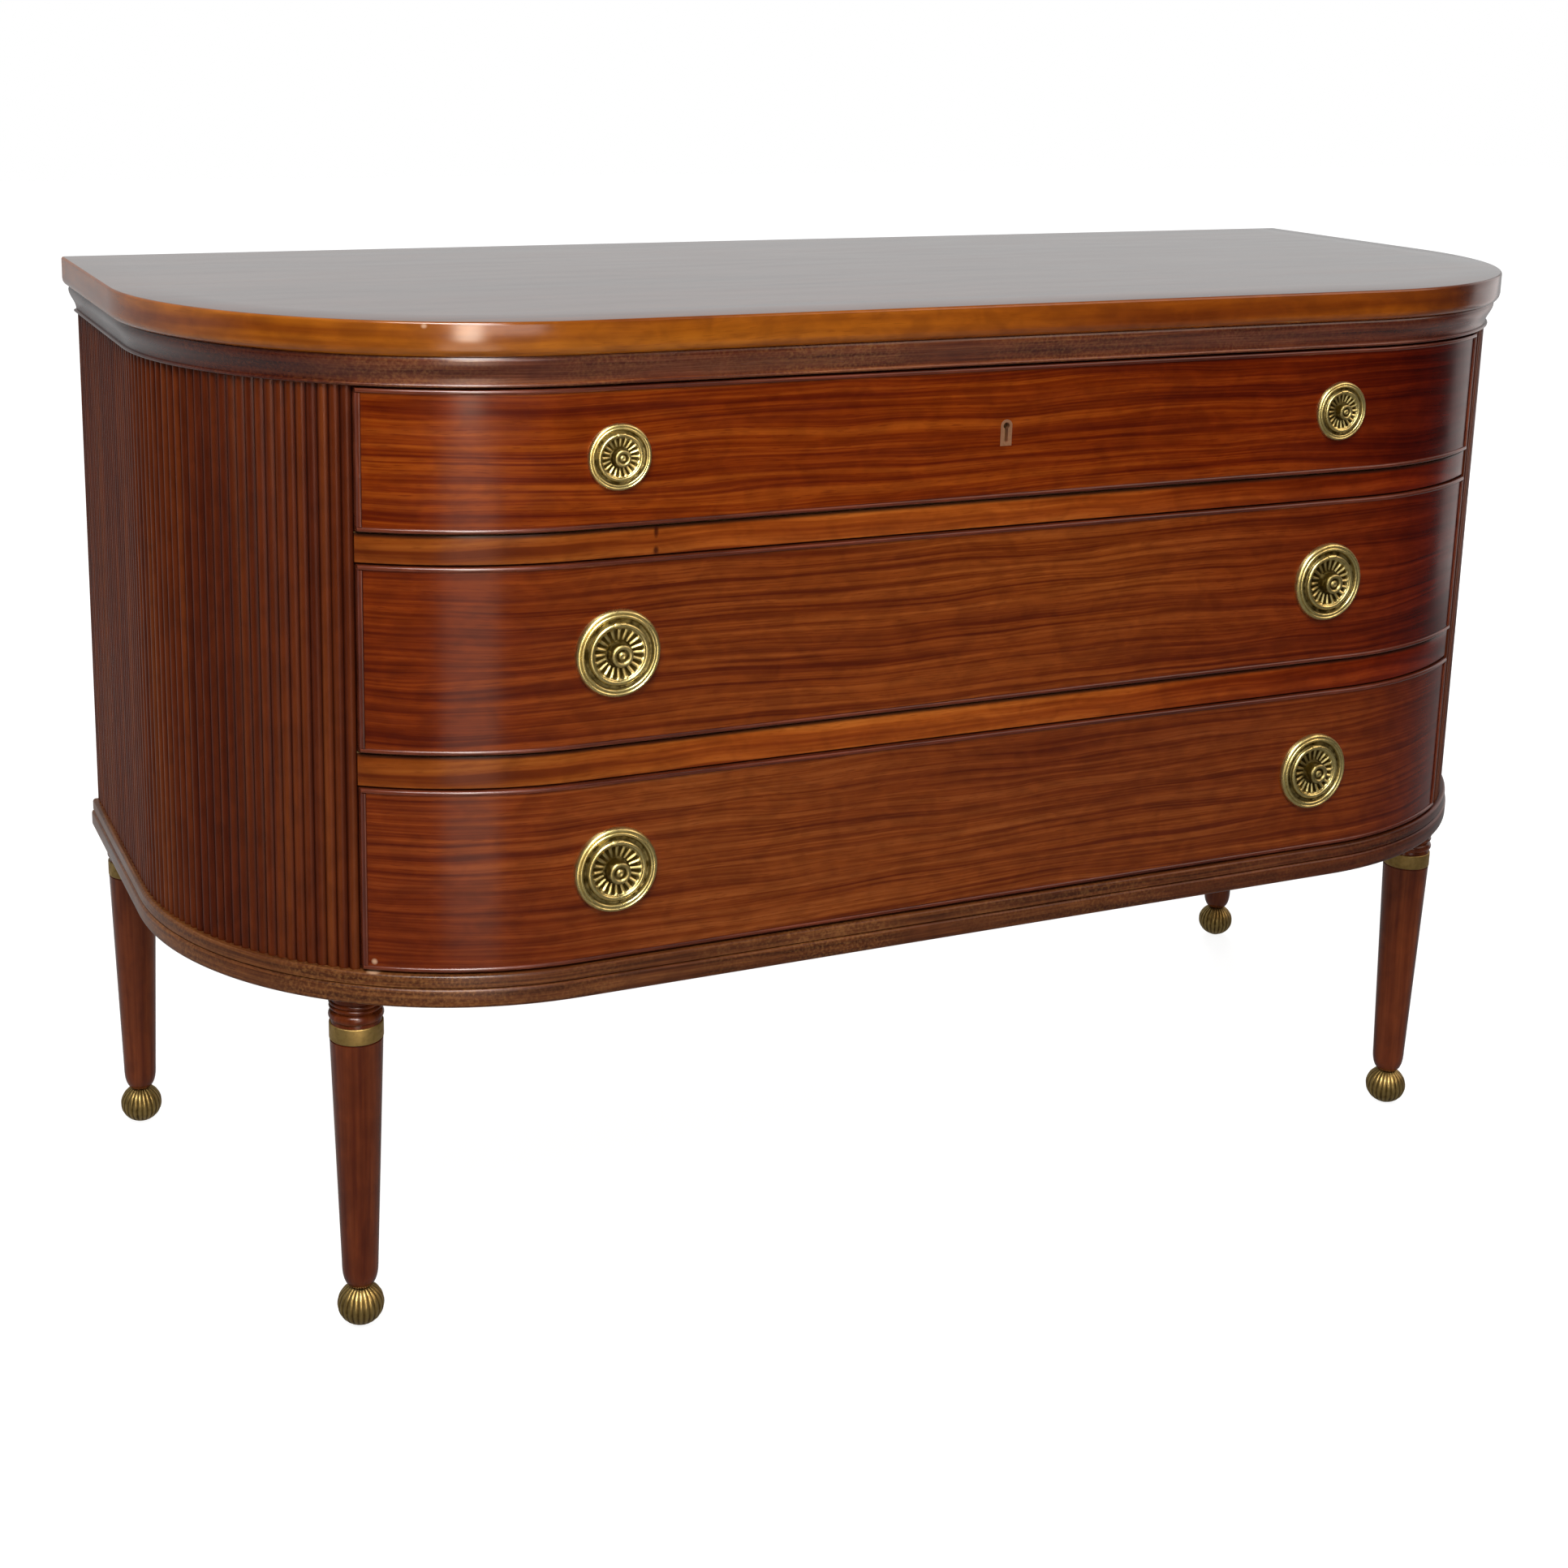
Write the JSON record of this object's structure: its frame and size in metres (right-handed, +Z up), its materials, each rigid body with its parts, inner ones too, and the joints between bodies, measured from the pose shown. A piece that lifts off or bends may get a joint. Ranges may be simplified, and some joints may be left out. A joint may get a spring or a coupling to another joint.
{
  "type": "demilune chest of drawers",
  "caption": "D-shaped commode: straight front with rounded corners, bowed drawers with ring pulls, reeded ends, moulded top, turned legs on brass ball feet",
  "frame": {"origin": "on the floor, under the middle of the outer box", "axes": "+X to the right of someone facing the drawers, +Y to the straight back, +Z up; the drawers open along -Y"},
  "size_m": [1.25, 0.5076, 0.78],
  "materials": {
    "mahogany_top": "satin polish",
    "mahogany_drawer": "satin polish",
    "mahogany_rail": "satin polish",
    "mahogany_dark": "satin polish",
    "mahogany_leg": "satin polish",
    "carcase_wood": "oiled",
    "brass": "aged satin",
    "iron": "dull"
  },
  "bodies": {
    "carcase": {"top_slab": "mahogany_top", "cornice_front": "mahogany_dark", "cornice_left": "mahogany_dark", "cornice_right": "mahogany_dark", "top_rail_front": "carcase_wood", "top_rail_back": "carcase_wood", "upper_rail": "mahogany_rail", "lower_rail": "mahogany_rail", "bottom_board": "carcase_wood", "base_moulding_front": "mahogany_dark", "base_moulding_left": "mahogany_dark", "base_moulding_right": "mahogany_dark", "end_wall_left": "carcase_wood", "end_wall_right": "carcase_wood", "reeding_left": "mahogany_dark", "reeding_right": "mahogany_dark", "stile_left": "carcase_wood", "stile_right": "carcase_wood", "back_boards": "carcase_wood", "back_posts": "carcase_wood", "kickers": "carcase_wood", "upper_runners": "carcase_wood", "lower_runners": "carcase_wood", "bottom_guides": "carcase_wood", "leg_front_left": "mahogany_leg", "leg_front_right": "mahogany_leg", "leg_back_left": "mahogany_leg", "leg_back_right": "mahogany_leg", "leg_collars": "brass", "ball_feet": "brass"},
    "top_drawer": {"top_drawer_front": "mahogany_drawer", "top_drawer_beading": "mahogany_dark", "top_drawer_sides": "carcase_wood", "top_drawer_back": "carcase_wood", "top_drawer_bottom": "carcase_wood", "top_pull_plates": "brass", "top_pull_studs": "brass", "keyhole_liner": "brass", "lock_case": "iron"},
    "top_pull_ring_left": {"top_pull_ring_left": "brass"},
    "top_pull_ring_right": {"top_pull_ring_right": "brass"},
    "middle_drawer": {"middle_drawer_front": "mahogany_drawer", "middle_drawer_beading": "mahogany_dark", "middle_drawer_sides": "carcase_wood", "middle_drawer_back": "carcase_wood", "middle_drawer_bottom": "carcase_wood", "middle_pull_plates": "brass", "middle_pull_studs": "brass"},
    "middle_pull_ring_left": {"middle_pull_ring_left": "brass"},
    "middle_pull_ring_right": {"middle_pull_ring_right": "brass"},
    "bottom_drawer": {"bottom_drawer_front": "mahogany_drawer", "bottom_drawer_beading": "mahogany_dark", "bottom_drawer_sides": "carcase_wood", "bottom_drawer_back": "carcase_wood", "bottom_drawer_bottom": "carcase_wood", "bottom_pull_plates": "brass", "bottom_pull_studs": "brass"},
    "bottom_pull_ring_left": {"bottom_pull_ring_left": "brass"},
    "bottom_pull_ring_right": {"bottom_pull_ring_right": "brass"},
    "lock_bolt": {"lock_bolt": "iron"}
  },
  "joints": [
    {"name": "top_drawer_slide", "type": "slide", "parent": "carcase", "child": "top_drawer", "axis": [0, -1, 0], "range_m": [0, 0.32]},
    {"name": "top_pull_ring_left_hinge", "type": "hinge", "parent": "top_drawer", "child": "top_pull_ring_left", "pos_m": [-0.318, -0.24543, 0.69646], "axis": [-1, 0, 0], "range_deg": [0, 100]},
    {"name": "top_pull_ring_right_hinge", "type": "hinge", "parent": "top_drawer", "child": "top_pull_ring_right", "pos_m": [0.318, -0.24543, 0.69646], "axis": [-1, 0, 0], "range_deg": [0, 100]},
    {"name": "middle_drawer_slide", "type": "slide", "parent": "carcase", "child": "middle_drawer", "axis": [0, -1, 0], "range_m": [0, 0.32]},
    {"name": "middle_pull_ring_left_hinge", "type": "hinge", "parent": "middle_drawer", "child": "middle_pull_ring_left", "pos_m": [-0.318, -0.24613, 0.55798], "axis": [-1, 0, 0], "range_deg": [0, 100]},
    {"name": "middle_pull_ring_right_hinge", "type": "hinge", "parent": "middle_drawer", "child": "middle_pull_ring_right", "pos_m": [0.318, -0.24613, 0.55798], "axis": [-1, 0, 0], "range_deg": [0, 100]},
    {"name": "bottom_drawer_slide", "type": "slide", "parent": "carcase", "child": "bottom_drawer", "axis": [0, -1, 0], "range_m": [0, 0.32]},
    {"name": "bottom_pull_ring_left_hinge", "type": "hinge", "parent": "bottom_drawer", "child": "bottom_pull_ring_left", "pos_m": [-0.318, -0.24613, 0.39248], "axis": [-1, 0, 0], "range_deg": [0, 100]},
    {"name": "bottom_pull_ring_right_hinge", "type": "hinge", "parent": "bottom_drawer", "child": "bottom_pull_ring_right", "pos_m": [0.318, -0.24613, 0.39248], "axis": [-1, 0, 0], "range_deg": [0, 100]},
    {"name": "lock_bolt_slide", "type": "slide", "parent": "top_drawer", "child": "lock_bolt", "axis": [0, 0, 1], "range_m": [0, 0.0085]}
  ]
}
